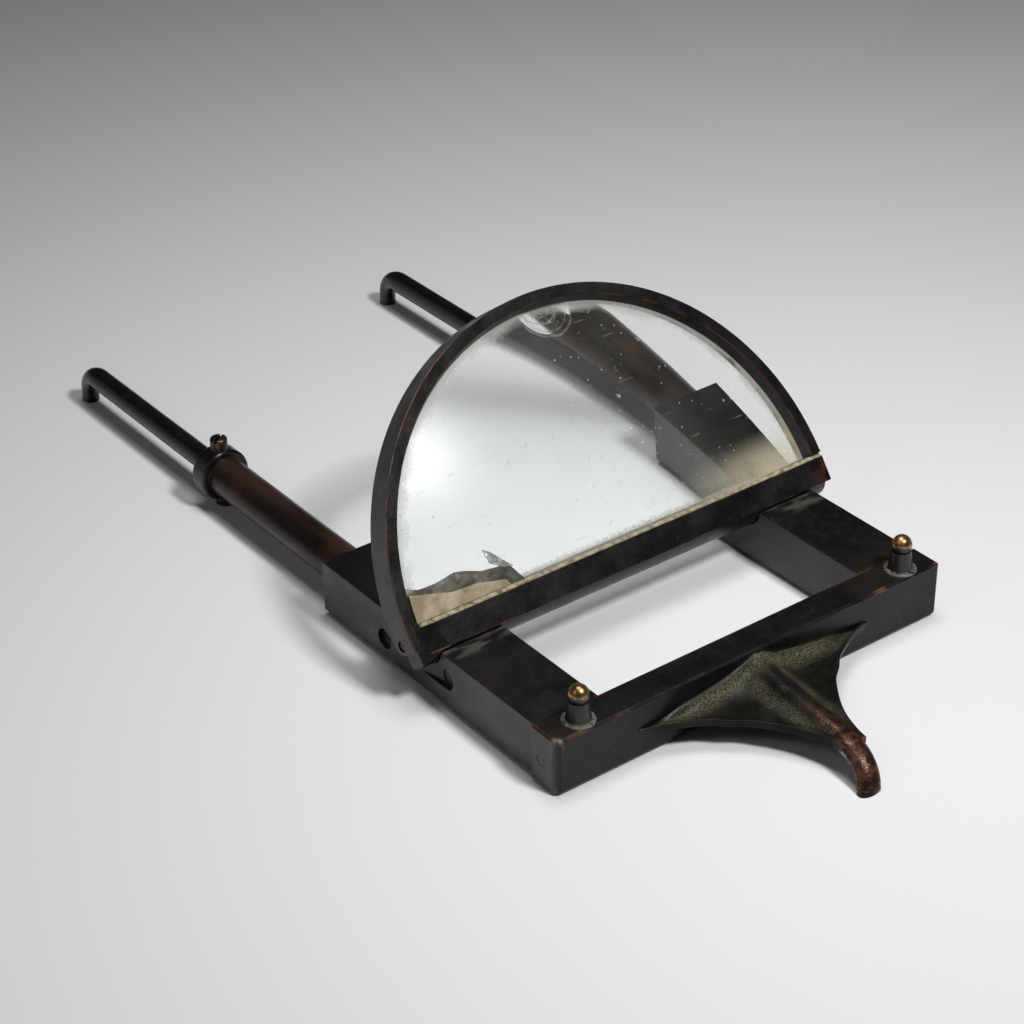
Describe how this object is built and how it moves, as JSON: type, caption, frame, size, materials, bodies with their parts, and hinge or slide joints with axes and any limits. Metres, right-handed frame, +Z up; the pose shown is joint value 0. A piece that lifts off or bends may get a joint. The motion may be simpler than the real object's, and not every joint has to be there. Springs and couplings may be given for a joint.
{
  "type": "ship's compass magnifier",
  "caption": "Half-round magnifying lens in a tilting frame, on a cast clip frame with a bent finger in front and spring-loaded hooked rods behind.",
  "frame": {"origin": "middle of the crossbar's bottom front edge, where the bezel of the compass seats between the crossbar and the clip finger", "axes": "+X along the crossbar to the right, +Y rearwards along the hooked rods, +Z up"},
  "size_m": [0.1392, 0.2895, 0.0782],
  "materials": {
    "black_casting": "black paint over cast bronze, worn and dusty",
    "rim_black": "black paint worn to copper brown on its edges",
    "gloss_black": "smooth glossy black",
    "stud_brass": "black cone with a ball worn back to brass",
    "tube_brass": "brown patina",
    "plain_brass": "turned brass",
    "screw_brass": "darkened brass",
    "spring_steel": "drawn wire",
    "lens_glass": "polished, dusty at the edge, chipped and broken at the lower left",
    "tan_putty": "dry setting compound"
  },
  "bodies": {
    "frame": {"front_crossbar": "black_casting", "left_rail": "black_casting", "right_rail": "black_casting", "left_ball_stud": "stud_brass", "right_ball_stud": "stud_brass", "left_tube": "tube_brass", "right_tube": "tube_brass", "left_tube_plug": "plain_brass", "right_tube_plug": "plain_brass", "left_collar": "gloss_black", "right_collar": "gloss_black", "crossbar_dowels": "plain_brass", "tube_screws": "screw_brass", "collar_screws": "screw_brass", "collar_pins": "screw_brass", "left_spring": "spring_steel", "right_spring": "spring_steel"},
    "lens_frame": {"lens_rim": "rim_black", "lens_bar": "rim_black", "hinge_pins": "plain_brass", "hinge_washers": "plain_brass", "lens_retainer": "plain_brass", "lens": "lens_glass", "lens_putty": "tan_putty"},
    "left_rod": {"left_hook_rod": "gloss_black", "left_piston": "plain_brass"},
    "right_rod": {"right_hook_rod": "gloss_black", "right_piston": "plain_brass"}
  },
  "joints": [
    {"name": "lens_tilt", "type": "hinge", "parent": "frame", "child": "lens_frame", "pos_m": [0, 0.0543, 0.01715], "axis": [1, 0, 0], "range_deg": [0, 70]},
    {"name": "left_rod_slide", "type": "slide", "parent": "frame", "child": "left_rod", "axis": [0, 1, 0], "range_m": [0, 0.018], "stiffness_N_per_m": 600, "springref_m": -0.01, "deforming": ["left_spring"]},
    {"name": "right_rod_slide", "type": "slide", "parent": "frame", "child": "right_rod", "axis": [0, 1, 0], "range_m": [0, 0.018], "stiffness_N_per_m": 600, "springref_m": -0.01, "deforming": ["right_spring"]}
  ]
}
